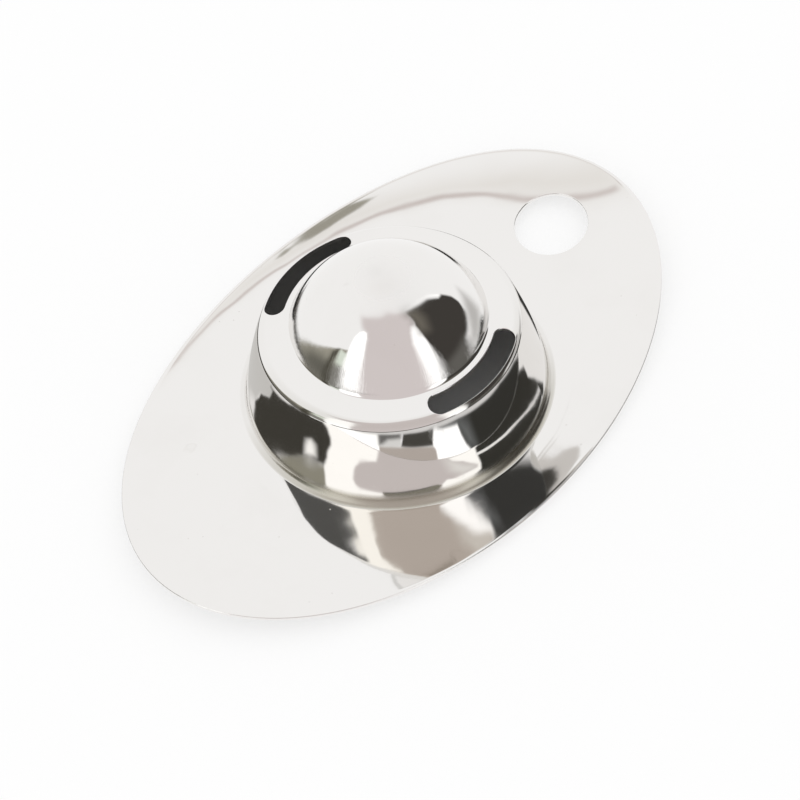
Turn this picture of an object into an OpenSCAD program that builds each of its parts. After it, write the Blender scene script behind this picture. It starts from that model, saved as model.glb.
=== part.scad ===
// Oval pressed-steel egg separator, cup upward as it rests: one sheet divided at its forming lines
// into zones that meet face to face. Millimetres, Z up along the cup axis, X toward the hang hole,
// rest plane at Z = 0.

/* [Plate] */
// Overall length of the oval plate along X
plate_l = 140; // [130:1:160]
// Overall width of the oval plate along Y
plate_w = 90; // [84:1:110]
// Radius of the shallow sphere the plate is dished to
dish_r = 430; // [300:10:800]
// Thickness of the steel sheet
sheet_t = 0.8; // [0.5:0.1:1.2]

/* [Hang hole] */
// Distance from the middle of the hang hole to the plate's end
hang_margin = 17.5; // [14:0.5:20]
// Diameter of the hang hole
hang_d = 16; // [8:0.5:18]

/* [Cup] */
// Radius at which the drain ring turns into the shoulder bend
ring_edge_r = 25.6; // [23:0.1:27]
// Height of that edge above the rest plane
ring_edge_h = 20.7; // [17:0.1:25]
// Fall of the drain ring toward its outer edge, in degrees
ring_fall = 11; // [4:0.5:16]
// Outside radius of the shoulder bend, in section
shoulder_r = 2.4; // [1.6:0.1:3.5]
// Outside radius of the bellied wall, in section
belly_r = 115; // [80:5:200]
// Lean of the wall at its foot, in degrees
foot_lean = 10; // [4:0.5:14]
// Upper-side radius of the bend from the wall to the plate, in section
root_r = 2.5; // [1.5:0.1:4]

/* [Yolk dome] */
// Rise of the dome above the foot of its root bend
dome_rise = 14; // [11:0.5:16]
// Upper-side radius of the dome's root bend, in section
dome_root_r = 1.2; // [0.8:0.1:3]

/* [Drain slots] */
// Width of a slot
slot_w = 4.4; // [4.2:0.1:5]
// Share of the shoulder bend that a slot cuts into
slot_bite = 0.9; // [0.3:0.05:0.9]
// Strip of the drain ring left between a slot and the dome's root bend
slot_land = 0.9; // [0.5:0.1:2]
// Angle a slot spans, rounded ends included, in degrees
slot_span = 62; // [40:1:80]

/* [Shown node] */
// Node to draw, or all of them

/* [Hidden] */
$fn = 144;
steel = [0.80, 0.80, 0.81];
steel_dim = [0.70, 0.71, 0.72];
// Straight pieces that stand in for the oval outline
oval_pieces = 144;
// Reach of a cutting shape past the sheet it cuts
past = 5;
// Step from a slot's sides to its round ends, which lets the two meet cleanly
end_step = 0.02;

// Bend from wall to plate: its middle stands over the circle the piece rests on
root_z = root_r + sheet_t;
// Lean of the wall at its top, found from the height of the ring's edge
belly_z = root_z - (root_r + belly_r) * sin(foot_lean);
top_lean = asin((ring_edge_h - shoulder_r * cos(ring_fall) - belly_z) / (belly_r - shoulder_r));
// Middles of the shoulder bend, the belly's arc and the root bend, in section
shoulder_c = [ring_edge_r - shoulder_r * sin(ring_fall), ring_edge_h - shoulder_r * cos(ring_fall)];
belly_c = shoulder_c - (belly_r - shoulder_r) * [cos(top_lean), sin(top_lean)];
root_c = belly_c + (belly_r + root_r) * [cos(foot_lean), sin(foot_lean)];
// Middle of the plate's sphere and the angle at which the plate starts
dish_c = [0, root_c[1] + sqrt(pow(dish_r - root_r, 2) - pow(root_c[0], 2))];
dish_start = asin(root_c[0] / (dish_r - root_r));
dish_end = asin((plate_l / 2 + past) / dish_r);
// Slots: their outer edge stays clear of the wall, the dome's root bend starts a strip inside them
shoulder_in_r = shoulder_c[0] + (shoulder_r - sheet_t) * cos(top_lean);
slot_out_r = ring_edge_r + slot_bite * (shoulder_in_r - ring_edge_r);
slot_in_r = slot_out_r - slot_w;
slot_r = slot_out_r - slot_w / 2;
slot_half = slot_span / 2 - asin(slot_w / 2 / slot_r);
// Drain ring: its two edges, its upper-side normal, and the dome's root bend standing on it
ring_n = [sin(ring_fall), cos(ring_fall)];
edge_p = [ring_edge_r, ring_edge_h];
foot_r = slot_in_r - slot_land;
foot_p = [foot_r, ring_edge_h + (ring_edge_r - foot_r) * tan(ring_fall)];
dome_root_c = foot_p + dome_root_r * ring_n;
// Dome radius from its rise, so that the dome runs smoothly into its root bend
dome_drop = dome_root_c[1] - foot_p[1] - dome_rise;
dome_r = (pow(dome_root_c[0], 2) + pow(dome_drop, 2) - pow(dome_root_r, 2)) / (2 * (dome_root_r - dome_drop));
dome_c = [0, foot_p[1] + dome_rise - dome_r];
dome_edge = atan2(dome_root_c[1] - dome_c[1], dome_root_c[0]);
// Hang hole: its distance from the cup axis and the tilt of the sheet there
hang_x = plate_l / 2 - hang_margin;
hang_tilt = asin(hang_x / dish_r);

// Points of the oval outline
function oval(l, w) =
    [for (i = [0 : oval_pieces - 1])
        [l / 2 * cos(i * 360 / oval_pieces), w / 2 * sin(i * 360 / oval_pieces)]];

// Wedge from angle a0 to a1 with its tip at the origin
module wedge(reach, a0, a1) {
    far = 2 * reach;
    mid = (a0 + a1) / 2;
    polygon([
        [0, 0],
        far * [cos(a0), sin(a0)],
        far * [cos(mid), sin(mid)],
        far * [cos(a1), sin(a1)]
    ]);
}

// Bent strip of the sheet in section: an arc of radius r_in to r_out from angle a0 to a1
module bend(c, r_in, r_out, a0, a1) {
    translate(c)
        intersection() {
            difference() {
                circle(r_out);
                circle(r_in);
            }
            wedge(r_out, a0, a1);
        }
}

// Slot outline: an arc with rounded ends, centred on the given direction
module slot_outline(direction) {
    rotate(direction) {
        intersection() {
            difference() {
                circle(slot_out_r - end_step);
                circle(slot_in_r + end_step);
            }
            wedge(slot_out_r, -slot_half, slot_half);
        }
        for (side = [-1, 1])
            rotate(side * slot_half)
                translate([slot_r, 0])
                    circle(slot_w / 2);
    }
}

module oval_plate() {
    color(steel)
        difference() {
            intersection() {
                rotate_extrude()
                    bend(dish_c, dish_r, dish_r + sheet_t, dish_start - 90, dish_end - 90);
                translate([0, 0, -past])
                    linear_extrude(ring_edge_h + past)
                        polygon(oval(plate_l, plate_w));
            }
            translate([dish_c[0], 0, dish_c[1]])
                rotate([0, -hang_tilt, 0])
                    translate([0, 0, -dish_r - past])
                        cylinder(h = 2 * past, d = hang_d);
        }
}

module cup_root() {
    color(steel_dim)
        rotate_extrude()
            bend(root_c, root_r, root_r + sheet_t, 180 + foot_lean, 270 + dish_start);
}

module cup_wall() {
    color(steel)
        rotate_extrude()
            bend(belly_c, belly_r - sheet_t, belly_r, foot_lean, top_lean);
}

// Both slots, cut straight down through the sheet
module slots() {
    for (direction = [90, 270])
        translate([0, 0, ring_edge_h - shoulder_r - past])
            linear_extrude(shoulder_r + 2 * past)
                slot_outline(direction);
}

module cup_shoulder() {
    color(steel_dim)
        difference() {
            rotate_extrude()
                bend(shoulder_c, shoulder_r - sheet_t, shoulder_r, top_lean, 90 - ring_fall);
            slots();
        }
}

module drain_ring() {
    color(steel)
        difference() {
            rotate_extrude()
                polygon([foot_p, edge_p, edge_p - sheet_t * ring_n, foot_p - sheet_t * ring_n]);
            slots();
        }
}

module dome_root() {
    color(steel_dim)
        rotate_extrude()
            bend(dome_root_c, dome_root_r, dome_root_r + sheet_t, 180 + dome_edge, 270 - ring_fall);
}

module yolk_dome() {
    color(steel)
        rotate_extrude()
            bend(dome_c, dome_r - sheet_t, dome_r, dome_edge, 90);
}

oval_plate();
cup_root();
cup_wall();
cup_shoulder();
drain_ring();
dome_root();
yolk_dome();
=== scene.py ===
from math import asin, atan2, cos, degrees, pi, radians, sin, sqrt, tan

import bpy
import numpy as np
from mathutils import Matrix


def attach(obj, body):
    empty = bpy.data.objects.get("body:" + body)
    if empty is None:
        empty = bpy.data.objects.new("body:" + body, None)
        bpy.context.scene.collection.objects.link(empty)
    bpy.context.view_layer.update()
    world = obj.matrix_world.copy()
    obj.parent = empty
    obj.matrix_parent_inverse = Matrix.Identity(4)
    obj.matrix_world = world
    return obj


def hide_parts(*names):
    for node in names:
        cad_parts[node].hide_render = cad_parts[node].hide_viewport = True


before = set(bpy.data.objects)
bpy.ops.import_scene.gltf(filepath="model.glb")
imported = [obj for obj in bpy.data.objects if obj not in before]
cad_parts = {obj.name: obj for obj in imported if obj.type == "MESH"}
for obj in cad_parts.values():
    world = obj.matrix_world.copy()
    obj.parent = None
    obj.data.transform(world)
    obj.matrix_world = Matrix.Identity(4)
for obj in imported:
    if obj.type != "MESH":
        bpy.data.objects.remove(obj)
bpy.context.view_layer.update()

mm = 0.001
print("frame loaded:", ", ".join(sorted(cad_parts)))

# the pressed sheet, in millimetres and degrees, as in the part's source
sheet = {
    "thickness": 0.8,
    "upperRoll": 0.18,  # rounding of the cut edges on the upper side
    "lowerRoll": 0.10,
    "rollSteps": 6,
    "turns": 360,  # columns round the cup axis
    "weldSteps": 1e4,  # steps per millimetre on which points that meet are welded
}
plate = {
    "length": 140.0,
    "width": 90.0,
    "dishRadius": 430.0,
    "holeX": 52.5,
    "holeRadius": 8.0,
    "holeSteps": 60,
    "plainSteps": 300,
    "rows": 40,
    "risePower": 1.83,  # the dish starts flat at the cup and steepens to the rim
    "lipWidth": 0.9,  # rim band that the press left flatter
    "lipFlat": 0.6,
    "slopeStep": 0.002,  # half the span over which a slope is measured
}
cup = {
    "edgeRadius": 25.6,
    "edgeHeight": 20.7,
    "ringFall": 11.0,
    "shoulderRadius": 2.4,
    "bellyRadius": 115.0,
    "footLean": 10.0,
    "rootRadius": 2.5,
    "bendRadius": 1.7,  # the root bend as the photograph shows it
    "rootRows": 16,
    "wallRows": 36,
    "rootDullShade": 1.0,  # how far the polishing wheel missed the bends; their colour is painted shade
    "rootFade": 0.2,  # share of the root over which the dullness and painted shade set in
    "footDull": 0.09,  # share of the wall's height
    "shoulderDullShade": 0.3,
    "dullShadePower": 0.7,
}
slot = {
    "width": 4.4,
    "bite": 0.9,
    "land": 0.9,
    "span": 62.0,
    "bodySteps": 60,
    "capSteps": 12,
    "plainSteps": 120,
    "innerRows": 5,
    "outerRows": 16,
}
dome = {
    "rise": 14.0,
    "rootRadius": 1.2,
    "rootRows": 12,
    "rows": 44,
}


def unit(v):
    return v / np.linalg.norm(v, axis=-1, keepdims=True)


# section of the sheet: middles of its bends, worked out as in the part's source
thick = sheet["thickness"]
fall = radians(cup["ringFall"])
footLean = radians(cup["footLean"])
shoulderR, bellyR, rootR = cup["shoulderRadius"], cup["bellyRadius"], cup["rootRadius"]
bellyZ = rootR + thick - (rootR + bellyR) * sin(footLean)
topLean = asin((cup["edgeHeight"] - shoulderR * cos(fall) - bellyZ) / (bellyR - shoulderR))
ringN = np.array([sin(fall), cos(fall)])
edgeP = np.array([cup["edgeRadius"], cup["edgeHeight"]])
shoulderC = edgeP - shoulderR * ringN
bellyC = shoulderC - (bellyR - shoulderR) * np.array([cos(topLean), sin(topLean)])
rootC = bellyC + (bellyR + rootR) * np.array([cos(footLean), sin(footLean)])
dishR = plate["dishRadius"]
dishZ = rootC[1] + sqrt((dishR - rootR) ** 2 - rootC[0] ** 2)
riseStart, plateLow = rootC[0], rootC[1] - rootR
# the bend itself, drawn tighter between the same wall and plate
rootR = cup["bendRadius"]
footLean = asin((rootR + thick - bellyZ) / (bellyR + rootR))
rootC = bellyC + (bellyR + rootR) * np.array([cos(footLean), sin(footLean)])
plateStart = rootC[0]
shoulderInR = shoulderC[0] + (shoulderR - thick) * cos(topLean)
slotOutR = edgeP[0] + slot["bite"] * (shoulderInR - edgeP[0])
slotMidR = slotOutR - slot["width"] / 2
slotHalf = radians(slot["span"]) / 2 - asin(slot["width"] / 2 / slotMidR)
footR = slotOutR - slot["width"] - slot["land"]
footP = np.array([footR, edgeP[1] + (edgeP[0] - footR) * tan(fall)])
domeRootR = dome["rootRadius"]
domeRootC = footP + domeRootR * ringN
domeDrop = domeRootC[1] - footP[1] - dome["rise"]
domeR = (domeRootC[0] ** 2 + domeDrop ** 2 - domeRootR ** 2) / (2 * (domeRootR - domeDrop))
domeC = np.array([0.0, footP[1] + dome["rise"] - domeR])
domeEdge = atan2(domeRootC[1] - domeC[1], domeRootC[0])
print("section: dome radius %.2f, wall top lean %.1f" % (domeR, degrees(topLean)))


class SheetMesh:
    # gathers patches of quads with their own normals, then welds the points that meet
    def __init__(self):
        self.points, self.normals, self.quads, self.finish, self.dull = [], [], [], [], []
        self.count = 0

    def patch(self, points, normals, closed=False, cut=False, dull=None):
        points, normals = np.asarray(points, float), np.asarray(normals, float)
        dull = np.zeros(points.shape[:2]) if dull is None else np.broadcast_to(dull, points.shape[:2])
        if closed:
            points = np.concatenate([points, points[:, :1]], 1)
            normals = np.concatenate([normals, normals[:, :1]], 1)
            dull = np.concatenate([dull, dull[:, :1]], 1)
        rows, columns = points.shape[:2]
        ids = self.count + np.arange(rows * columns).reshape(rows, columns)
        quads = np.stack([ids[:-1, :-1], ids[:-1, 1:], ids[1:, 1:], ids[1:, :-1]], -1).reshape(-1, 4)
        self.points.append(points.reshape(-1, 3))
        self.normals.append(unit(normals.reshape(-1, 3)))
        self.dull.append(dull.reshape(-1))
        self.quads.append(quads)
        self.finish.append(np.full(len(quads), int(cut)))
        self.count += rows * columns

    def build(self, name, *nodes):
        points, normals = np.concatenate(self.points), np.concatenate(self.normals)
        quads, finish = np.concatenate(self.quads), np.concatenate(self.finish)
        a, b, c, d = (points[quads[:, k]] for k in range(4))
        inward = np.sum(np.cross(c - a, d - b) * normals[quads].sum(1), 1) < 0
        quads[inward] = quads[inward][:, ::-1]
        _, first, weld = np.unique(np.round(points * sheet["weldSteps"]), axis=0,
                                   return_index=True, return_inverse=True)
        weld = weld.reshape(-1)
        faces, corners, finishes = [], [], []
        for quad, cut in zip(quads, finish):
            ring = []
            for corner in quad:
                if not ring or (weld[corner] != weld[ring[-1]] and weld[corner] != weld[ring[0]]):
                    ring.append(corner)
            if len(ring) > 2:
                faces.append([int(weld[corner]) for corner in ring])
                corners.extend(normals[corner] for corner in ring)
                finishes.append(int(cut))
        mesh = bpy.data.meshes.new(name)
        mesh.from_pydata((points[first] * mm).tolist(), [], faces)
        # per point: share of dullness, and of painted shade in the colour
        layer = mesh.attributes.new("dull", "FLOAT", "POINT")
        layer.data.foreach_set("value", np.concatenate(self.dull)[first].astype(np.float32))
        mesh.shade_smooth()
        mesh.polygons.foreach_set("material_index", finishes)
        mesh.normals_split_custom_set([tuple(n) for n in corners])
        piece = bpy.data.objects.new(name, mesh)
        bpy.context.scene.collection.objects.link(piece)
        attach(piece, "root")
        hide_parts(*nodes)
        print("piece %s: %d faces" % (name, len(faces)))
        return piece


def turned(section, angles):
    # section rows of r, z, nr, nz spun to rows x columns of points and normals
    section = np.asarray(section, float)
    c, s = np.cos(angles), np.sin(angles)

    def spin(r, z):
        return np.stack([np.outer(r, c), np.outer(r, s), np.outer(z, np.ones_like(c))], -1)

    return spin(section[:, 0], section[:, 1]), spin(section[:, 2], section[:, 3])


def arcRows(centre, radius, start, end, rows, side):
    # side 1: the normal leaves the arc's middle, -1: it faces the middle
    a = np.linspace(start, end, rows + 1)
    return np.stack([centre[0] + radius * np.cos(a), centre[1] + radius * np.sin(a),
                     side * np.cos(a), side * np.sin(a)], 1)


def bentZone(name, node, centre, upperR, lowerR, start, end, rows, side, dull=0.0):
    # one bend of the sheet, closed at both borders; the last argument gives each row's dullness and painted
    # shade
    angles = np.arange(sheet["turns"]) * 2 * pi / sheet["turns"]
    zone = SheetMesh()
    upper = arcRows(centre, upperR, start, end, rows, side)
    lower = arcRows(centre, lowerR, start, end, rows, -side)
    dullShadeMask = np.broadcast_to(dull, rows + 1)[:, None]
    zone.patch(*turned(upper, angles), closed=True, dull=dullShadeMask)
    zone.patch(*turned(lower, angles), closed=True, dull=dullShadeMask)
    for k, way in ((0, -1), (-1, 1)):
        if upper[k][0] < 1e-6:  # the crown has no border
            continue
        across = way * np.sign(end - start) * np.array([-sin((start, end)[k]), cos((start, end)[k])])
        border = [[row[k][0], row[k][1], across[0], across[1]] for row in (upper, lower)]
        zone.patch(*turned(border, angles), closed=True)
    return zone.build(name, node)


def rimReach(x, y):
    r = np.hypot(x, y)
    return 1 / np.sqrt((x / r / plate["length"] * 2) ** 2 + (y / r / plate["width"] * 2) ** 2)


def plateHeight(x, y):
    # upper side of the dish over a plan point; the rim lies on the sphere of the part's source
    rim = rimReach(x, y)
    share = np.clip((np.hypot(x, y) - riseStart) / (rim - riseStart), 0, None)
    rimHeight = dishZ - np.sqrt(dishR ** 2 - rim ** 2)
    return plateLow + (rimHeight - plateLow) * share ** plate["risePower"]


def platePoint(x, y, upper):
    # point of the dish on one side of the sheet, and its normal on the upper side
    h = plate["slopeStep"]
    slopeX = (plateHeight(x + h, y) - plateHeight(x - h, y)) / (2 * h)
    slopeY = (plateHeight(x, y + h) - plateHeight(x, y - h)) / (2 * h)
    z = plateHeight(x, y) - (0 if upper else thick) * np.sqrt(1 + slopeX ** 2 + slopeY ** 2)
    lip = np.clip(1 - (rimReach(x, y) - np.hypot(x, y)) / plate["lipWidth"], 0, 1)
    keep = 1 - plate["lipFlat"] * lip * lip * (3 - 2 * lip)
    normal = unit(np.stack([-slopeX * keep, -slopeY * keep, np.ones_like(z)], -1))
    return np.stack([x, y, z], -1), normal


def holeLoop(turn, grow, radius):
    # plan points of the hang hole's rim on a sphere of the given radius, square to the sheet
    tilt = asin(plate["holeX"] / dishR)
    r = plate["holeRadius"] + grow
    reach = sqrt(radius ** 2 - r ** 2)
    return np.stack([reach * sin(tilt) + r * np.cos(turn) * cos(tilt), r * np.sin(turn)], -1)


def ovalLoop(turn, shrink):
    a, b = plate["length"] / 2, plate["width"] / 2
    out = unit(np.stack([np.cos(turn) / a, np.sin(turn) / b], -1))
    return np.stack([a * np.cos(turn), b * np.sin(turn)], -1) - shrink * out, out


def ovalTurn(angle):
    return np.arctan2(np.sin(angle) / plate["width"], np.cos(angle) / plate["length"])


def makePlate():
    zone = SheetMesh()
    rows = np.linspace(0, 1, plate["rows"] + 1)[:, None, None]
    even = np.linspace(-1, 1, plate["holeSteps"] + 1)
    spread = np.arcsin(even) / pi + 0.5 * even  # no thin columns where the rays touch the hole
    tilt = asin(plate["holeX"] / dishR)
    rims, holes = {}, {}
    for upper in (True, False):
        side = 1 if upper else -1
        radius = dishR if upper else dishR + thick
        roll = sheet["upperRoll"] if upper else sheet["lowerRoll"]
        # the two halves of the hole meet where rays from the cup axis touch it
        r = plate["holeRadius"] + roll
        lean = asin(r * cos(tilt) / (sqrt(radius ** 2 - r ** 2) * sin(tilt)))
        farTurn, nearTurn = (pi / 2 + lean) * spread, pi - (pi / 2 - lean) * spread
        far, near = holeLoop(farTurn, roll, radius), holeLoop(nearTurn, roll, radius)
        farAngle, nearAngle = np.arctan2(far[:, 1], far[:, 0]), np.arctan2(near[:, 1], near[:, 0])
        plain = np.linspace(farAngle[-1], farAngle[0] + 2 * pi, plate["plainSteps"] + 1)
        rimTurn = np.concatenate([ovalTurn(farAngle), ovalTurn(plain)[1:]])

        def start(angle):
            return plateStart * np.stack([np.cos(angle), np.sin(angle)], -1)

        def rim(angle):
            return ovalLoop(ovalTurn(angle), roll)[0]

        tipShare = np.linalg.norm(far[-1] - start(farAngle[-1])) / np.linalg.norm(
            rim(farAngle[-1]) - start(farAngle[-1]))
        middle = start(plain) + tipShare * (rim(plain) - start(plain))
        middle[0], middle[-1] = far[-1], far[0]
        strips = [(start(nearAngle), near), (far, rim(farAngle)),
                  (start(plain), middle), (middle, rim(plain))]
        for a, b in strips:
            plan = a[None] + rows * (b - a)[None]
            points, normals = platePoint(plan[..., 0], plan[..., 1], upper)
            zone.patch(points, normals * side)
        # rolled edges of the rim and the hang hole
        turn = np.concatenate([farTurn, nearTurn[::-1][1:-1]])
        rimRoll, holeRoll = [], []
        for phi in np.linspace(0, pi / 2, sheet["rollSteps"] + 1):
            back, drop = roll * (1 - sin(phi)), roll * (1 - cos(phi))
            plan, out = ovalLoop(rimTurn[:-1], back)
            points, normals = platePoint(plan[:, 0], plan[:, 1], upper)
            out3 = np.concatenate([out, np.zeros((len(out), 1))], 1)
            rimRoll.append((points - side * drop * normals, cos(phi) * side * normals + sin(phi) * out3))
            plan = holeLoop(turn, back, radius)
            points, normals = platePoint(plan[:, 0], plan[:, 1], upper)
            into = -np.stack([np.cos(turn) * cos(tilt), np.sin(turn), np.cos(turn) * sin(tilt)], 1)
            holeRoll.append((points - side * drop * normals, cos(phi) * side * normals + sin(phi) * into))
        for band, kept, flat in ((rimRoll, rims, out3), (holeRoll, holes, into)):
            zone.patch([p for p, n in band], [n for p, n in band], closed=True, cut=True)
            kept[upper] = (band[-1][0], flat)
        # border to the cup root
        rims["start", upper] = platePoint(*start(np.concatenate([nearAngle, plain[1:-1]])).T, upper)[0]
    for kept in (rims, holes):
        zone.patch([kept[True][0], kept[False][0]], [kept[True][1], kept[False][1]], closed=True, cut=True)
    borders = np.stack([rims["start", True], rims["start", False]])
    zone.patch(borders, -unit(borders * np.array([1, 1, 0])), closed=True)
    return zone.build("ovalPlate", "oval_plate")


def ringSection(upper):
    # radius to z and normal along the drain ring and shoulder, on one side of the sheet
    side = 1 if upper else -1
    edge = edgeP if upper else edgeP - thick * ringN
    arc = shoulderR if upper else shoulderR - thick

    def lengthAt(r):
        onArc = arc * (pi / 2 - fall - np.arccos(np.clip((r - shoulderC[0]) / arc, -1, 1)))
        return np.where(r <= edge[0], (r - edge[0]) / cos(fall), onArc)

    def pointAt(s):
        a = pi / 2 - fall - np.maximum(s, 0) / arc
        onLine = np.minimum(s, 0)
        r = np.where(s > 0, shoulderC[0] + arc * np.cos(a), edge[0] + onLine * cos(fall))
        z = np.where(s > 0, shoulderC[1] + arc * np.sin(a), edge[1] - onLine * sin(fall))
        return r, z, side * np.cos(a), side * np.sin(a)

    foot = lengthAt(footR if upper else footR - thick * sin(fall))
    return lengthAt, pointAt, foot, arc * (pi / 2 - fall - topLean)


def turnedPlan(points, angle):
    x, y = points.T
    return np.stack([x * cos(angle) - y * sin(angle), x * sin(angle) + y * cos(angle)], 1)


def polar(points):
    return np.arctan2(points[:, 1], points[:, 0]), np.hypot(points[:, 0], points[:, 1])


def slotLoop(halfWidth):
    # plan points of one slot's edge about +X, and the way into the opening
    body = np.linspace(-slotHalf, slotHalf, slot["bodySteps"] + 1)
    touch = pi / 2 + asin(halfWidth / slotMidR)  # where a ray from the cup axis touches the round end
    steps = slot["capSteps"] + 1
    cap = np.concatenate([np.linspace(0, touch, steps), np.linspace(touch, pi, steps)[1:]])
    ray = np.stack([np.cos(body), np.sin(body)], 1)
    tip = np.stack([np.cos(cap), np.sin(cap)], 1)
    endCap = turnedPlan(np.array([slotMidR, 0]) + halfWidth * tip, slotHalf)
    into = -turnedPlan(tip, slotHalf)
    flip = np.array([1, -1])
    loop = [(slotMidR + halfWidth) * ray, endCap[1:],
            (slotMidR - halfWidth) * ray[::-1][1:], (endCap * flip)[::-1][1:-1]]
    way = [-ray, into[1:], ray[::-1][1:], (into * flip)[::-1][1:-1]]
    return np.concatenate(loop), np.concatenate(way)


def makeRing():
    zone = SheetMesh()
    walls = {}
    for upper in (True, False):
        side = 1 if upper else -1
        lengthAt, pointAt, footS, endS = ringSection(upper)
        roll = sheet["upperRoll"] if upper else sheet["lowerRoll"]

        def lifted(s, angle):
            r, z, nr, nz = pointAt(s)
            c, w = np.cos(angle), np.sin(angle)
            return np.stack([r * c, r * w, z], -1), np.stack([nr * c, nr * w, nz], -1)

        loop = slotLoop(slot["width"] / 2 + roll)[0]
        body, cap = slot["bodySteps"], slot["capSteps"]
        outer = np.concatenate([loop[-cap:], loop[: body + cap + 1]])
        inner = loop[body + cap: 2 * body + 3 * cap + 1][::-1]
        (outAngle, outR), (inAngle, inR) = polar(outer), polar(inner)
        plain = np.linspace(outAngle[-1], pi + outAngle[0], slot["plainSteps"] + 1)
        inRows = np.linspace(0, 1, slot["innerRows"] + 1)[:, None]
        outRows = np.linspace(0, 1, slot["outerRows"] + 1)[:, None]
        tipS = lengthAt(outR[-1:])
        for direction in (pi / 2, -pi / 2):
            for angle, s in ((inAngle, lengthAt(inR)), (plain, np.repeat(tipS, len(plain)))):
                rows = footS + inRows * (s - footS)[None]
                zone.patch(*lifted(rows, np.broadcast_to(angle + direction, rows.shape)))
            for angle, s in ((outAngle, lengthAt(outR)), (plain, np.repeat(tipS, len(plain)))):
                rows = s[None] + outRows * (endS - s)[None]
                # the shoulder bend gets dullness and painted shade, most at its middle
                bendShare = np.clip(rows / endS, 0, 1)
                dullShadeMask = cup["shoulderDullShade"] * np.sin(pi * bendShare).clip(0) ** cup["dullShadePower"]
                zone.patch(*lifted(rows, np.broadcast_to(angle + direction, rows.shape)), dull=dullShadeMask)
            band = []
            for phi in np.linspace(0, pi / 2, sheet["rollSteps"] + 1):
                back, drop = roll * (1 - sin(phi)), roll * (1 - cos(phi))
                plan, into = slotLoop(slot["width"] / 2 + back)
                into = turnedPlan(into, direction)
                angle, r = polar(turnedPlan(plan, direction))
                points, normals = lifted(lengthAt(r), angle)
                points[:, 2] -= side * drop
                into3 = np.concatenate([into, np.zeros((len(into), 1))], 1)
                band.append((points, cos(phi) * normals + sin(phi) * into3))
            zone.patch([p for p, n in band], [n for p, n in band], closed=True, cut=True)
            walls[direction, upper] = (band[-1][0], into3)
        # borders to the dome root and to the wall
        for key, s, angles in (("foot", footS, inAngle), ("end", endS, outAngle)):
            half = np.concatenate([angles, plain[1:-1]])
            around = np.concatenate([half + pi / 2, half - pi / 2])
            walls[key, upper] = lifted(np.full(len(around), s), around)[0]
    for direction in (pi / 2, -pi / 2):
        (topP, topN), (lowP, lowN) = walls[direction, True], walls[direction, False]
        zone.patch([topP, lowP], [topN, lowN], closed=True, cut=True)
    foot, end = (np.stack([walls[key, True], walls[key, False]]) for key in ("foot", "end"))
    zone.patch(foot, -unit(foot * np.array([1, 1, 0])), closed=True)
    zone.patch(end, np.broadcast_to(np.array([0, 0, -1.0]), end.shape), closed=True)
    return zone.build("drainRing", "drain_ring", "cup_shoulder")


ovalPlate = makePlate()
# dullness and painted shade in the root bend and the foot of the wall
rootShare = np.linspace(0, 1, cup["rootRows"] + 1)
rootDullShadeRows = cup["rootDullShade"] * np.clip(rootShare / cup["rootFade"], 0, 1) ** cup["dullShadePower"]
cupRoot = bentZone("cupRoot", "cup_root", rootC, rootR, rootR + thick,
                   1.5 * pi, pi + footLean, cup["rootRows"], -1, rootDullShadeRows)
wallShare = np.linspace(0, 1, cup["wallRows"] + 1)
footDullShadeRows = cup["rootDullShade"] * np.clip(1 - wallShare / cup["footDull"], 0, 1)
cupWall = bentZone("cupWall", "cup_wall", bellyC, bellyR, bellyR - thick,
                   footLean, topLean, cup["wallRows"], 1, footDullShadeRows)
drainRing = makeRing()
domeRoot = bentZone("domeRoot", "dome_root", domeRootC, domeRootR, domeRootR + thick,
                    1.5 * pi - fall, pi + domeEdge, dome["rootRows"], -1)
yolkDome = bentZone("yolkDome", "yolk_dome", domeC, domeR, domeR - thick, domeEdge, pi / 2, dome["rows"], 1)


class Wire:
    # a socket that takes part in Python sums; each sum adds a Math node
    def __init__(self, tree, socket):
        self.tree, self.socket = tree, socket

    def maths(self, operation, *others):
        node = self.tree.nodes.new("ShaderNodeMath")
        node.operation = operation
        for k, value in enumerate(others):
            if isinstance(value, Wire):
                self.tree.links.new(value.socket, node.inputs[k])
            else:
                node.inputs[k].default_value = value
        return Wire(self.tree, node.outputs[0])

    def __add__(self, other):
        return self.maths("ADD", self, other)

    def __radd__(self, other):
        return self.maths("ADD", other, self)

    def __sub__(self, other):
        return self.maths("SUBTRACT", self, other)

    def __rsub__(self, other):
        return self.maths("SUBTRACT", other, self)

    def __mul__(self, other):
        return self.maths("MULTIPLY", self, other)

    def __rmul__(self, other):
        return self.maths("MULTIPLY", other, self)

    def __pow__(self, other):
        return self.maths("POWER", self, other)


class Finish:
    # a material's node tree; add() makes any node from its type, settings and sockets
    def __init__(self, name):
        self.material = bpy.data.materials.new(name)
        self.material.use_nodes = True
        self.tree = self.material.node_tree
        self.tree.nodes.clear()
        self.output = self.tree.nodes.new("ShaderNodeOutputMaterial")

    def add(self, kind, settings=None, out=0, **sockets):
        node = self.tree.nodes.new("ShaderNode" + kind)
        for key, value in (settings or {}).items():
            if key == "stops":
                ramp = node.color_ramp
                while len(ramp.elements) < len(value):
                    ramp.elements.new(0.5)
                for element, (place, colour) in zip(ramp.elements, value):
                    element.position, element.color = place, (*colour, 1)
            else:
                setattr(node, key, value)
        for key, value in sockets.items():
            numbered = key[0] == "n" and key[1:].isdigit()  # n0, n1: sockets by their place
            socket = node.inputs[int(key[1:]) if numbered else key.replace("_", " ")]
            if isinstance(value, Wire):
                self.tree.links.new(value.socket, socket)
            else:
                socket.default_value = value
        return Wire(self.tree, node.outputs[out])

    def close(self, surface):
        self.tree.links.new(surface.socket, self.output.inputs["Surface"])
        return self.material


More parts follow.
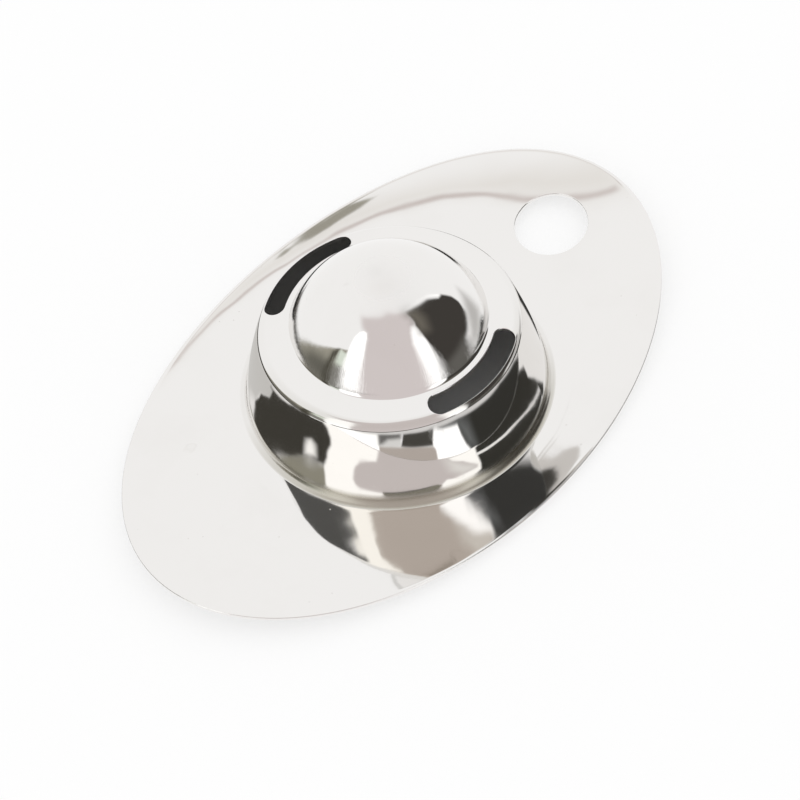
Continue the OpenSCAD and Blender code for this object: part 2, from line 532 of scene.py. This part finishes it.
steel = {
    "colour": (0.86, 0.845, 0.828),
    "stain": (0.79, 0.77, 0.745),
    # colour of the painted shade in the dull bends
    "dull": (0.50, 0.475, 0.41),
    "dullShadeSide": -125.0,  # direction round Z, from +X, where the painted shade is strongest, near the camera's side
    "roughness": 0.03,
}
# per piece: waviness and streaks in metres, hairline strength, satin crown in metres, extra roughness
finishes = {
    "plateSteel": {"wave": 5e-5, "hair": 0.3, "streak": 0.0, "crown": 0.0, "rough": 0.0},
    "bendSteel": {"wave": 2e-5, "hair": 0.5, "streak": 0.0, "crown": 0.0, "rough": 0.0},
    "wallSteel": {"wave": 3e-5, "hair": 0.5, "streak": 0.0, "crown": 0.0, "rough": 0.005},
    "ringSteel": {"wave": 2e-5, "hair": 0.5, "streak": 0.0, "crown": 0.0, "rough": 0.01},
    "domeSteel": {"wave": 2e-5, "hair": 0.8, "streak": 1.5e-5, "crown": 0.008, "rough": 0.0},
    "cutEdgeSteel": {"wave": 1e-5, "hair": 1.0, "streak": 0.0, "crown": 0.0, "rough": 0.13},
}
# marks of the press and the polishing wheel; scales are per metre, reaches in metres
polish = {
    "slowScale": 75.0,  # waviness of the pressed sheet
    "fineScale": 420.0,
    "fineShare": 0.015,
    "rayTurn": 190.0,  # lines that run out from the cup axis
    "rayScale": 140.0,
    "rayShare": 0.65,
    "loopTurn": 2.5,  # fainter lines round it
    "loopScale": 5200.0,
    "loopShare": 0.35,
    "lineDepth": 0.4e-6,
    "lineRough": 0.06,
    "streakFrom": 0.0155,  # coarser strokes toward the dome's foot
    "streakFull": 0.0205,
    "crownFull": 0.6,  # shares of the satin crown's radius
    "crownEnd": 1.5,
    "crownRough": 0.28,
    "missedRough": 0.25,
    "dullShadeLeast": 0.12,  # dullness and painted shade left on the side away from the strongest side
    "dullShadeFull": 0.75,
}
# per mark: scale per metre, how much of the cells or cloud it takes, stain and roughness
marks = {
    "smear": {"scale": 60.0, "ramp": [(0.52, (0, 0, 0)), (0.78, (1, 1, 1))], "stain": 0.25, "rough": 0.025},
    "drop": {"scale": 85.0, "pick": 0.8, "strayScale": 190.0, "stray": 0.0045, "stain": 0.45, "rough": 0.04,
             "ramp": [(0.0, (0.4, 0.4, 0.4)), (0.1, (0.4, 0.4, 0.4)),
                      (0.125, (1, 1, 1)), (0.16, (0, 0, 0))]},
    "speck": {"scale": 420.0, "pick": 0.88, "size": 0.07, "stain": 0.9, "rough": 0.2},
}


def cells(made, place, scale):
    # distance to the nearest cell's middle, and a number that is the cell's own
    own = made.add("TexVoronoi", out="Color", Vector=place, Scale=scale)
    return made.add("TexVoronoi", Vector=place, Scale=scale), made.add("SeparateColor", Color=own)


def wheelLines(made, angle, radius, z, turn, scale, detail, roughness):
    place = made.add("CombineXYZ", X=angle * turn, Y=radius * scale, Z=z * scale)
    return made.add("TexNoise", Vector=place, Scale=1.0, Detail=detail, Roughness=roughness)


def polishedSteel(name, wave, hair, streak, crown, rough):
    made = Finish(name)
    smearMark, dropMark, speckMark = marks["smear"], marks["drop"], marks["speck"]
    place = made.add("TexCoord", out="Object")
    x, y, z = (made.add("SeparateXYZ", out=k, Vector=place) for k in range(3))
    radius = (x * x + y * y) ** 0.5
    angle = made.add("Math", {"operation": "ARCTAN2"}, n0=y, n1=x)
    # slow and fine waviness of the pressed sheet
    slow = made.add("TexNoise", Vector=place, Scale=polish["slowScale"], Detail=1.0, Roughness=0.4)
    fine = made.add("TexNoise", Vector=place, Scale=polish["fineScale"], Detail=2.0, Roughness=0.5)
    rays = wheelLines(made, angle, radius, z, polish["rayTurn"], polish["rayScale"], 3.0, 0.65)
    loops = wheelLines(made, angle, radius, z, polish["loopTurn"], polish["loopScale"], 2.0, 0.6)
    lines = rays * polish["rayShare"] + loops * polish["loopShare"]
    # hand smears, dried drops with a rim, and pin specks
    cloud = made.add("TexNoise", Vector=place, Scale=smearMark["scale"], Detail=4.0, Roughness=0.55)
    smear = made.add("ValToRGB", {"stops": smearMark["ramp"]}, Fac=cloud)
    stray = made.add("TexNoise", out="Color", Vector=place, Scale=dropMark["strayScale"], Detail=2.0)
    spot = made.add("VectorMath", {"operation": "MULTIPLY_ADD"},
                    n0=stray, n1=(dropMark["stray"],) * 3, n2=place)
    dropGap, dropPick = cells(made, spot, dropMark["scale"])
    drops = (made.add("ValToRGB", {"stops": dropMark["ramp"]}, Fac=dropGap)
             * made.add("Math", {"operation": "GREATER_THAN"}, n0=dropPick, n1=dropMark["pick"]))
    speckGap, speckPick = cells(made, place, speckMark["scale"])
    specks = (made.add("Math", {"operation": "LESS_THAN"}, n0=speckGap, n1=speckMark["size"])
              * made.add("Math", {"operation": "GREATER_THAN"}, n0=speckPick, n1=speckMark["pick"]))
    # bends left dull, with painted shade in their colour, strongest near the camera's side and least on the
    # side away from it
    facing = made.add("Math", {"operation": "COSINE"}, n0=angle - radians(steel["dullShadeSide"]))
    share = made.add("MapRange", n0=facing, n1=0.0, n2=polish["dullShadeFull"],
                     n3=polish["dullShadeLeast"], n4=1.0)
    dullShadeMask = made.add("Attribute", {"attribute_name": "dull"}, out="Fac") * share
    stain = smear * smearMark["stain"] + drops * dropMark["stain"] + specks * speckMark["stain"]
    stained = made.add("Mix", {"data_type": "RGBA"}, out=2, n0=stain,
                       n6=(*steel["colour"], 1), n7=(*steel["stain"], 1))
    # painted shade: the dull bends are mixed toward a dark olive colour
    colour = made.add("Mix", {"data_type": "RGBA"}, out=2, n0=dullShadeMask, n6=stained, n7=(*steel["dull"], 1))
    roughness = (steel["roughness"] + rough + smear * smearMark["rough"] + drops * dropMark["rough"]
                 + specks * speckMark["rough"] + (lines - 0.5) * (polish["lineRough"] * hair)
                 + dullShadeMask * polish["missedRough"])
    if crown:
        roughness = roughness + made.add("MapRange", n0=radius, n1=crown * polish["crownFull"],
                                         n2=crown * polish["crownEnd"], n3=polish["crownRough"], n4=0.0)
    swell = made.add("Bump", Height=slow, Strength=1.0, Distance=wave)
    ripple = made.add("Bump", Height=fine, Strength=1.0, Distance=wave * polish["fineShare"], Normal=swell)
    brushed = made.add("Bump", Height=lines, Strength=1.0,
                       Distance=polish["lineDepth"] * hair, Normal=ripple)
    if streak:
        low = made.add("MapRange", n0=radius, n1=polish["streakFrom"], n2=polish["streakFull"],
                       n3=0.0, n4=1.0)
        brushed = made.add("Bump", Height=rays * low, Strength=1.0, Distance=streak, Normal=brushed)
    body = made.add("BsdfPrincipled", Base_Color=colour, Metallic=1.0, Roughness=roughness, Normal=brushed)
    return made.close(body)


steels = {name: polishedSteel(name, **settings) for name, settings in finishes.items()}
for piece, name in ((ovalPlate, "plateSteel"), (cupRoot, "bendSteel"), (cupWall, "wallSteel"),
                    (drainRing, "ringSteel"), (domeRoot, "bendSteel"), (yolkDome, "domeSteel")):
    piece.data.materials.append(steels[name])
    piece.data.materials.append(steels["cutEdgeSteel"])
print("finishes made")

# camera as it stood for the photograph
view = {
    "place": (-0.322249, -0.331259, 0.569974),
    "turn": (38.519, 5.009, -50.4764),
    "lens": 157.5,
    "sensor": 36.0,
    "clip": (0.01, 20.0),
}
camera = bpy.data.objects.new("camera", bpy.data.cameras.new("camera"))
bpy.context.scene.collection.objects.link(camera)
camera.location = view["place"]
camera.rotation_euler = [radians(a) for a in view["turn"]]
camera.data.lens = view["lens"]
camera.data.sensor_width = view["sensor"]
camera.data.clip_start, camera.data.clip_end = view["clip"]
bpy.context.scene.camera = camera

# studio: white room, pale floor, and panels that only the polished steel shows
studio = {
    "front": -134.21,  # direction of the camera round Z, from +X
    "reach": 12.0,
    "step": 0.5,
    # bands of height, then of direction, that are drawn finer: start, end, step
    "fine": ((-31, -13, 0.2), (34, 48, 0.15), (50, 77, 0.25), (70, 74.5, 0.1)),
    "fineFar": (-180, -170, 0.1),
    "white": (1.0, 1.0, 1.0),
    "floor": 0.985,
    "floorReach": 6.0,
    "clear": 0.55,  # share of the floor's white that holds no shadow
}
# the part of the floor inside the cup, which the inner faces do mirror, with painted shade that darkens it
# toward +Y
innerDisc = {
    "radius": 0.033,
    "lift": 0.00002,
    "sides": 64,
    "shadeReach": 0.02,  # painted shade: it darkens from -Y to +Y over this reach
    "shade": 0.4,
}
# each panel: outline in degrees right of the camera and above the horizon, softness, colour;
# deep panels show only where one part of the steel mirrors another
panels = {
    "frontCloth": {"soft": 4.0, "colour": (0.71, 0.653, 0.65),
        "outline": [(-38, -14), (-39, 34), (-44, 52), (-50, 57), (-64, 59), (-87, 64), (-67, 74),
                    (-45, 79), (-20, 84), (0, 86), (30, 84), (55, 79), (72, 73), (66, 66), (60, 60),
                    (55, 57), (45, 57), (36, 50), (34, 30), (33, -14)]},
    "leftStrip": {"soft": 1.2, "colour": (1.35, 1.35, 1.35),
        "outline": [(-56, -14), (-57, 5), (-60, 30), (-63.5, 47), (-62, 54), (-57, 57.5), (-50, 57.5),
                    (-45, 53), (-41, 43), (-39, 34), (-38, 5), (-38, -14)]},
    "rightStrip": {"soft": 4.0, "colour": (1.35, 1.35, 1.35),
        "outline": [(32, -14), (31, 10), (30.5, 30), (32, 44), (40, 54), (48, 58), (55, 57), (52.5, 48),
                    (50, 35), (48.5, 20), (47.5, 0), (47, -14)]},
    "darkSide": {"soft": 1.5, "colour": (0.055, 0.05, 0.045),
        "outline": [(47.5, -14), (48, 5), (49, 24), (51, 43), (55, 56), (60, 59), (68, 68), (75, 71),
                    (84, 67), (92.5, 62), (101, 55), (107.5, 48.7), (110, 35.6), (115, 31), (115, 20),
                    (112.5, 13), (105, 5.6), (95, 3), (86, 2), (80, -14)]},
    "darkTop": {"soft": 10.0, "colour": (0.17, 0.155, 0.13),
        "outline": [(52, 48), (58, 58), (68, 68), (75, 71), (82, 68), (84, 60), (76, 52), (64, 44)]},
    "greyLow": {"soft": 6.0, "colour": (0.13, 0.125, 0.115),
        "outline": [(52, 5), (84, 5), (84, -14), (52, -14)]},
    "paleLow": {"soft": 7.0, "colour": (0.55, 0.54, 0.53),
        "outline": [(86, -14), (91, -4), (101, 2), (112, 6), (124, 6), (120, -14)]},
    "paleFringe": {"soft": 0.7, "colour": (1.25, 1.25, 1.25),
        "outline": [(76, 72.5), (93, 64.5), (105, 55.5), (111.5, 45), (113, 34), (115, 34), (114, 45.5),
                    (107.5, 57), (95, 66.5), (77, 74)]},
    "leftCorner": {"soft": 1.0, "colour": (0.355, 0.34, 0.284),
        "outline": [(-61, 32), (-70, 28), (-80, 20.6), (-92.5, 9.4), (-105, -2), (-117.5, -15),
                    (-56, -15)]},
    "cornerLow": {"soft": 7.0, "colour": (0.14, 0.135, 0.115),
        "outline": [(-108, -15), (-96, 0), (-82, 8), (-68, 6), (-60, 0), (-58, -15)]},
    "darkStrip": {"soft": 2.2, "colour": (0.075, 0.07, 0.055),
        "outline": [(-70, 27), (-70, -15), (-77, -15), (-76, 20), (-72, 26)]},
    "leftCard": {"soft": 0.8, "colour": (0.765, 0.83, 0.737),
        "outline": [(-69, 28), (-59.5, 28), (-58.5, 13), (-68, 13)]},
    "underCard": {"soft": 1.0, "colour": (0.27, 0.265, 0.245),
        "outline": [(-68, 13), (-58, 13), (-57, -15), (-69, -15)]},
    "horizon": {"soft": 1.2, "colour": (0.1, 0.095, 0.08),
        "outline": [(-52, -13.2), (38, -13.2), (38, -6.5), (-52, -6.5)]},
    "lowLeft": {"soft": 0.6, "colour": (1.3, 1.3, 1.28),
        "outline": [(-70, -14), (-18.5, -14), (-18.5, -24), (-40, -26), (-70, -30)]},
    "lowFront": {"soft": 0.5, "colour": (0.486, 0.433, 0.396),
        "outline": [(-18.5, -18.6), (-10, -18.6), (0, -19.1), (10, -19.8), (18, -20.8), (20, -21.5),
                    (20.5, -30), (-18.5, -26)]},
    "lowCard": {"soft": 0.6, "colour": (0.75, 0.745, 0.73),
        "outline": [(-18.5, -15), (-3, -15), (-3.5, -18.8), (-18.5, -18.8)]},
    "lowGrey": {"soft": 2.2, "stretch": 3, "colour": (0.16, 0.155, 0.15),
        "outline": [(-19, -14.5), (-2, -14.5), (-3, -16.6), (-12, -16.9), (-16, -18), (-18.5, -18.3)]},
    "lowDark": {"soft": 0.4, "colour": (0.065, 0.062, 0.055),
        "outline": [(-1, -15.6), (4, -15.5), (21, -16.2), (19, -19), (18.5, -20.6), (10, -19.8),
                    (0, -19.1), (-3.5, -18.8), (-2, -17)]},
    "lowSide": {"soft": 1.2, "colour": (0.036, 0.035, 0.031),
        "outline": [(24, -15), (38, -14), (115, -14), (125, -36), (44, -36), (43.5, -27), (41, -25),
                    (39, -22), (38, -19), (30, -17.8), (24, -17)]},
    "lowSheen": {"soft": 4.0, "colour": (0.16, 0.165, 0.165),
        "outline": [(26, -17), (42, -18.3), (46, -21), (48, -27), (43, -26), (39, -20), (37, -18.6)]},
    "lowRight": {"soft": 0.6, "colour": (1.35, 1.35, 1.35),
        "outline": [(20.5, -16.9), (38, -19.1), (39, -22), (41, -25), (43.5, -27), (43, -32), (22, -30),
                    (20.3, -25), (20, -22), (18.5, -20.5), (19, -19)]},
    "lowCorner": {"soft": 2.5, "colour": (0.07, 0.065, 0.055),
        "outline": [(-70, -15), (-118, -15), (-155, -25), (-150, -50), (-70, -36)]},
    "lowFringe": {"soft": 0.35, "colour": (0.72, 0.71, 0.7),
        "outline": [(-35, -14.8), (-15, -14.6), (0, -14.4), (20, -15.2), (40, -16.6), (60, -19),
                    (80, -21.8), (100, -26), (109, -28.6), (108, -29.3), (100, -27.1), (80, -23),
                    (60, -20.3), (40, -17.9), (20, -16.3), (0, -15.5), (-15, -15.6), (-35, -16.3)]},
    "highBand": {"soft": 3.0, "colour": (0.87, 0.85, 0.82),
        "outline": [(160, 55), (165, 58.5), (170, 60), (175, 62.2), (180, 63.6), (184, 64), (190, 62),
                    (197, 60.6), (206, 59), (206, 63), (190, 66), (175, 66), (165, 62)]},
    "highLine": {"soft": 0.45, "colour": (0.66, 0.6, 0.58),
        "outline": [(160, 53.6), (162.7, 55.7), (164.7, 57.4), (168, 58.5), (172.2, 59.6), (174.2, 61.2),
                    (178.3, 62.6), (183.3, 63.1), (186.9, 62.3), (190.3, 61.1), (203.3, 59.2),
                    (203.3, 59.9), (190.3, 62), (186.9, 63.2), (183.3, 64.1), (178.3, 63.5),
                    (174.2, 62.2), (172.2, 60.4), (168, 59.3), (164.7, 58.2), (162.7, 56.5),
                    (160, 54.4)]},
    "highPatch": {"soft": 0.25, "colour": (0.365, 0.35, 0.3),
        "outline": [(168.6, 63.5), (167.3, 64.8), (169.4, 65.4), (171.5, 66.7), (174.2, 66.9),
                    (175.2, 66.7), (173.6, 65), (172.3, 63.7), (170.6, 63)]},
    "highSpot": {"soft": 0.25, "colour": (0.4, 0.385, 0.335),
        "outline": [(167, 63.3), (168.9, 63.3), (168.7, 62.4), (167.4, 62.4)]},
    "farPatch": {"soft": 0.15, "colour": (0.635, 0.61, 0.586),
        "outline": [(180.6, 49.4), (181.5, 48.8), (183.3, 47.2), (184.7, 45.9), (185.7, 45.1),
                    (187.6, 43.6), (188.1, 42.9), (188.8, 40.8), (188.5, 39.9), (188.1, 38.6),
                    (186.7, 38.6), (185.4, 42.5), (183.9, 45), (181.9, 47.3), (180.4, 48.5)]},
    "farDark": {"soft": 0.15, "colour": (0.05, 0.047, 0.042),
        "outline": [(182.5, 46.6), (184.2, 45.2), (185.1, 44.4), (185.9, 43.6), (186.9, 41.9),
                    (187.5, 40.5), (187.9, 38.6), (186.6, 38.4), (185.4, 40.5), (184.3, 42.2),
                    (183, 44)]},
    "deepClear": {"deep": True, "soft": 1.0, "colour": (1.0, 1.0, 1.0),
        "outline": [(-190, 32), (190, 32), (190, 95), (-190, 95)]},
    "deepBright": {"deep": True, "soft": 1.0, "colour": (1.35, 1.35, 1.33),
        "outline": [(-66, 32), (-62, 51), (52, 51), (52, 32)]},
    "deepHaze": {"deep": True, "soft": 3.0, "stretch": 5, "colour": (0.7, 0.7, 0.69),
        "outline": [(-185, 44), (-150, 44.8), (-136, 43.3), (-129, 45), (-115, 45.2), (-110, 47),
                    (-118, 50), (-185, 54)]},
    "deepLeft": {"deep": True, "soft": 1.0, "stretch": 4, "colour": (0.058, 0.055, 0.047),
        "outline": [(-137, 43.2), (-131, 44), (-129, 45), (-116, 45.2), (-113, 47.3), (-118, 48.3),
                    (-112, 47.6), (-104, 46.8), (-95, 46), (-85, 45), (-75, 44), (-68, 43.2), (-62, 42.6),
                    (-58, 41.5), (-55.5, 40.2), (-55.5, 39.3), (-58, 38), (-61, 37), (-70, 37.2),
                    (-80, 37.6), (-90, 37.9), (-100, 38.6), (-110, 39.2), (-120, 40.2), (-130, 41.5)]},
    "deepGreen": {"deep": True, "soft": 0.8, "stretch": 5, "colour": (0.33, 0.32, 0.262),
        "outline": [(-140, 42.3), (-130, 41.3), (-120, 40), (-110, 39), (-100, 38.4), (-92, 38),
                    (-80, 37.6), (-70, 37.1), (-61, 36.9), (-58, 34.5), (-56, 32), (-140, 32)]},
    "deepCard": {"deep": True, "soft": 2.5, "stretch": 5, "colour": (1.25, 1.25, 1.23),
        "outline": [(-76.5, 37.9), (-76, 39.2), (-71, 39.5), (-67.5, 38.6), (-67, 37.7), (-72, 37.6)]},
    "deepFront": {"deep": True, "soft": 1.0, "stretch": 4, "colour": (0.71, 0.66, 0.655),
        "outline": [(-22, 52), (-22, 42.6), (-23, 41), (-24, 40), (-30, 39.3), (-35, 38.7), (-38, 37.7),
                    (-40, 36.5), (-38, 35.7), (-35, 35.3), (-20, 35), (-19, 32), (19, 32), (20, 36),
                    (21, 36.5), (24, 37.5), (30, 37.3), (40, 37.9), (47, 38.2), (48, 39), (46, 39.8),
                    (42, 41.2), (38, 42.4), (30, 43.2), (27, 44.6), (25, 52)]},
    "deepBlush": {"deep": True, "soft": 5.0, "stretch": 4, "colour": (0.92, 0.91, 0.89),
        "outline": [(25, 44), (36, 42), (46, 39.5), (46, 38.3), (36, 38), (28, 40)]},
    "deepShade": {"deep": True, "soft": 0.7, "stretch": 5, "colour": (0.26, 0.25, 0.205),
        "outline": [(-20, 35.15), (-10, 35.4), (0, 35.8), (10, 36.1), (17, 36.5), (20, 36), (18, 34.9),
                    (16, 32), (-17, 32)]},
    "deepStreak": {"deep": True, "soft": 0.5, "stretch": 5, "colour": (0.12, 0.115, 0.1),
        "outline": [(-20, 35.2), (-10, 35.5), (0, 35.9), (10, 36.2), (16, 36.55), (10, 35.85), (0, 35.5),
                    (-10, 35.15), (-18, 34.9)]},
    "deepRight": {"deep": True, "soft": 0.8, "stretch": 3, "colour": (0.043, 0.042, 0.037),
        "outline": [(49.5, 52), (49.5, 43), (50.5, 39), (49.5, 37), (44, 35.5), (43, 32), (75, 32),
                    (100, 37), (120, 40.3), (132, 41.6), (123, 42.3), (118, 43), (115, 43.8), (116, 44.6),
                    (113, 45.2), (109, 46.2), (106, 52)]},
    "deepLine": {"deep": True, "soft": 0.5, "stretch": 6, "colour": (1.1, 1.1, 1.1),
        "outline": [(49, 43.25), (60, 43.15), (70, 42.85), (80, 42.25), (90, 41.7), (100, 41.4),
                    (110, 41.3), (122, 41.8), (122, 41.5), (110, 40.95), (100, 41), (90, 41.25),
                    (80, 41.6), (70, 42), (60, 42.2), (49, 42.2)]},
    "deepCream": {"deep": True, "soft": 0.8, "colour": (1.25, 1.23, 1.17),
        "outline": [(-104, 66), (-86, 69.3), (-95, 70.3), (-104, 69.8), (-90, 73), (-60, 79), (-39, 82),
                    (-38, 64), (-70, 64)]},
    "deepSmoke": {"deep": True, "soft": 0.8, "stretch": 2, "colour": (0.1, 0.1, 0.097),
        "outline": [(-165, 56), (-160, 58.5), (-150, 61.6), (-140, 64), (-130, 66.2), (-120, 68),
                    (-113, 68.6), (-107, 68.7), (-103, 69.2), (-95, 69.9), (-84, 70.7), (-80, 70.6),
                    (-86, 69.4), (-92, 68.2), (-100, 66.6), (-110, 65), (-120, 63.4), (-130, 61.5),
                    (-140, 59.5), (-150, 57.5)]},
    "deepTaupe": {"deep": True, "soft": 1.2, "colour": (0.565, 0.507, 0.458),
        "outline": [(-38, 58), (-38, 86), (28, 86), (33, 74), (37, 73.3), (42, 72.3), (50, 70.8),
                    (58, 69), (65, 67.7), (72, 66.6), (76, 65.8), (72, 64), (60, 60), (30, 58)]},
    "deepNub": {"deep": True, "soft": 0.6, "stretch": 3, "colour": (0.565, 0.507, 0.458),
        "outline": [(-30, 82), (-46, 80), (-52, 76), (-58, 73.7), (-64, 73), (-64, 72.6), (-56, 72.5),
                    (-46, 72.2), (-30, 71.8)]},
    "deepPale": {"deep": True, "soft": 4.0, "colour": (0.8, 0.77, 0.72),
        "outline": [(48, 70), (65, 67.5), (74, 66), (70, 64.5), (55, 66)]},
    "deepBrown": {"deep": True, "soft": 0.3, "colour": (0.2, 0.17, 0.13),
        "outline": [(-24, 71.6), (-10, 71.2), (0, 70.75), (15, 70), (30, 69.1), (30, 68.8), (15, 69.6),
                    (0, 70.35), (-10, 70.9), (-24, 71.3)]},
    "deepWhite": {"deep": True, "soft": 0.8, "colour": (1.35, 1.35, 1.35),
        "outline": [(28, 86), (33, 74), (37, 73.3), (42, 72.3), (50, 70.8), (58, 69), (65, 67.7),
                    (72, 66.6), (76, 65.8), (78, 65.3), (80, 66.5), (75, 68.5), (70, 69.8), (64, 71.8),
                    (60, 76), (55, 86)]},
    "deepDark": {"deep": True, "soft": 1.0, "colour": (0.045, 0.045, 0.043),
        "outline": [(57, 86), (62, 76), (65, 71.8), (71, 69.8), (76, 68.5), (81, 66.5), (79, 65.2),
                    (75, 64.4), (90, 61.6), (110, 58.3), (130, 54.5), (145, 51), (168, 44), (182, 43),
                    (182, 46.5), (174, 49.2), (168, 51.1), (163, 53.1), (157, 55.5), (152, 57.6),
                    (130, 63.3), (110, 67.5), (95, 71), (80, 76)]},
    "deepBeige": {"deep": True, "soft": 0.4, "colour": (0.6, 0.585, 0.56),
        "outline": [(153, 57.5), (160, 56.6), (168, 54.2), (173, 52.3), (182, 50.2), (182, 46.5),
                    (174, 49.2), (168, 51.1), (163, 53.1), (157, 55.5)]},
    "deepSheen": {"deep": True, "soft": 2.5, "colour": (0.18, 0.185, 0.19),
        "outline": [(66, 71.5), (73, 69.3), (81, 66.2), (88, 65), (82, 68.5), (72, 72)]},
}


def outlineCover(az, el, outline, soft, stretch):
    # 1 inside the outline, 0 outside, with a soft border; stretch makes it crisper in height
    inside = np.zeros(az.shape, bool)
    nearest = np.full(az.shape, 1e9)
    for (x0, y0), (x1, y1) in zip(outline, outline[1:] + outline[:1]):
        cross = ((y0 > el) != (y1 > el)) & (az < (x1 - x0) * (el - y0) / (y1 - y0 + 1e-12) + x0)
        inside ^= cross
        tall = stretch ** 2 * (y1 - y0)
        along = ((az - x0) * (x1 - x0) + (el - y0) * tall) / ((x1 - x0) ** 2 + (y1 - y0) * tall)
        along = np.clip(along, 0, 1)
        gapAz = (az - x0 - along * (x1 - x0)) * np.cos(np.radians(el))
        gapEl = (el - y0 - along * (y1 - y0)) * stretch
        nearest = np.minimum(nearest, np.hypot(gapAz, gapEl))
    t = np.clip(0.5 + np.where(inside, nearest, -nearest) / (2 * soft), 0, 1)
    return t * t * (3 - 2 * t)


def makeStudio():
    step = studio["step"]
    az = np.concatenate([np.arange(-180, 180 + step / 2, step), np.arange(*studio["fineFar"])])
    az = np.unique(np.round(az, 3))
    fine = [np.arange(*band) for band in studio["fine"]]
    el = np.unique(np.round(np.concatenate([np.arange(-90, 90 + step / 2, 2 * step), *fine]), 3))
    a, e = np.meshgrid(az, el)
    tints = {"tint": np.ones(a.shape + (3,)) * np.array(studio["white"])}
    tints["tintDeep"] = tints["tint"].copy()
    for panel in panels.values():
        edge = (panel["outline"], panel["soft"], panel.get("stretch", 1))
        cover = np.maximum(outlineCover(a, e, *edge), outlineCover(a + 360, e, *edge))[..., None]
        for key in ("tintDeep",) if panel.get("deep") else ("tint", "tintDeep"):
            tints[key] = tints[key] * (1 - cover) + cover * np.array(panel["colour"])
    turn = np.radians(studio["front"] + a)
    rise = np.radians(e)
    level = np.cos(rise)
    points = studio["reach"] * np.stack([level * np.cos(turn), level * np.sin(turn), np.sin(rise)], -1)
    rows, columns = a.shape
    ids = np.arange(rows * columns).reshape(rows, columns)
    quads = np.stack([ids[:-1, :-1], ids[1:, :-1], ids[1:, 1:], ids[:-1, 1:]], -1).reshape(-1, 4)
    mesh = bpy.data.meshes.new("studioPanels")
    mesh.from_pydata(points.reshape(-1, 3).tolist(), [], quads.tolist())
    for key, colour in tints.items():
        layer = mesh.color_attributes.new(key, "FLOAT_COLOR", "POINT")
        colour = np.concatenate([colour, np.ones(a.shape + (1,))], -1)
        layer.data.foreach_set("color", colour.ravel().astype(np.float32))
    tent = bpy.data.objects.new("studioPanels", mesh)
    bpy.context.scene.collection.objects.link(tent)
    glow = Finish("panelGlow")
    first, deep = (glow.add("Attribute", {"attribute_name": key}, out="Color") for key in tints)
    depth = glow.add("LightPath", out="Ray Depth")
    bounce = glow.add("Math", {"operation": "GREATER_THAN"}, n0=depth, n1=1.5)  # steel seen in steel
    paint = glow.add("Mix", {"data_type": "RGBA"}, out=2, n0=bounce, n6=first, n7=deep)
    mesh.materials.append(glow.close(glow.add("Emission", Color=paint, Strength=1.0)))
    glow.material.cycles.emission_sampling = "NONE"
    for ray in ("camera", "diffuse", "transmission", "volume_scatter", "shadow"):
        setattr(tent, "visible_" + ray, False)


makeStudio()
floorMesh = bpy.data.meshes.new("floor")
half = studio["floorReach"]
corners = [(-half, -half, 0), (half, -half, 0), (half, half, 0), (-half, half, 0)]
floorMesh.from_pydata(corners, [], [(0, 1, 2, 3)])
floor = bpy.data.objects.new("floor", floorMesh)
bpy.context.scene.collection.objects.link(floor)
paper = Finish("paleFloor")
lit = paper.add("BsdfDiffuse", Color=(*[studio["floor"]] * 3, 1))
clear = paper.add("Emission", Color=(*studio["white"], 1), Strength=1.0)
seen = paper.add("LightPath", out="Is Camera Ray") * studio["clear"]
floorMesh.materials.append(paper.close(paper.add("MixShader", n0=seen, n1=lit, n2=clear)))
floor.visible_glossy = False  # the panels stand in for it below the horizon

sides, radius = innerDisc["sides"], innerDisc["radius"]
around = np.arange(sides) * 2 * pi / sides
innerMesh = bpy.data.meshes.new("innerFloor")
innerMesh.from_pydata([(radius * cos(t), radius * sin(t), innerDisc["lift"]) for t in around], [],
                      [list(range(sides))])
# painted shade on the floor inside the cup, darker toward +Y
shade = Finish("paintedShadeFloor")
across = shade.add("SeparateXYZ", out="Y", Vector=shade.add("TexCoord", out="Object"))
tone = shade.add("MapRange", n0=across, n1=-innerDisc["shadeReach"], n2=innerDisc["shadeReach"],
                 n3=studio["floor"], n4=innerDisc["shade"])
matt = shade.add("BsdfPrincipled", Base_Color=tone, Roughness=1.0, Specular_IOR_Level=0.0)
innerMesh.materials.append(shade.close(matt))
innerFloor = bpy.data.objects.new("innerFloor", innerMesh)
bpy.context.scene.collection.objects.link(innerFloor)

world = bpy.data.worlds.new("whiteRoom")
bpy.context.scene.world = world
world.use_nodes = True
world.node_tree.nodes["Background"].inputs["Color"].default_value = (*studio["white"], 1)
world.node_tree.nodes["Background"].inputs["Strength"].default_value = 1.0
bpy.context.scene.view_settings.view_transform = "Standard"
print("studio made: %d panels" % len(panels))
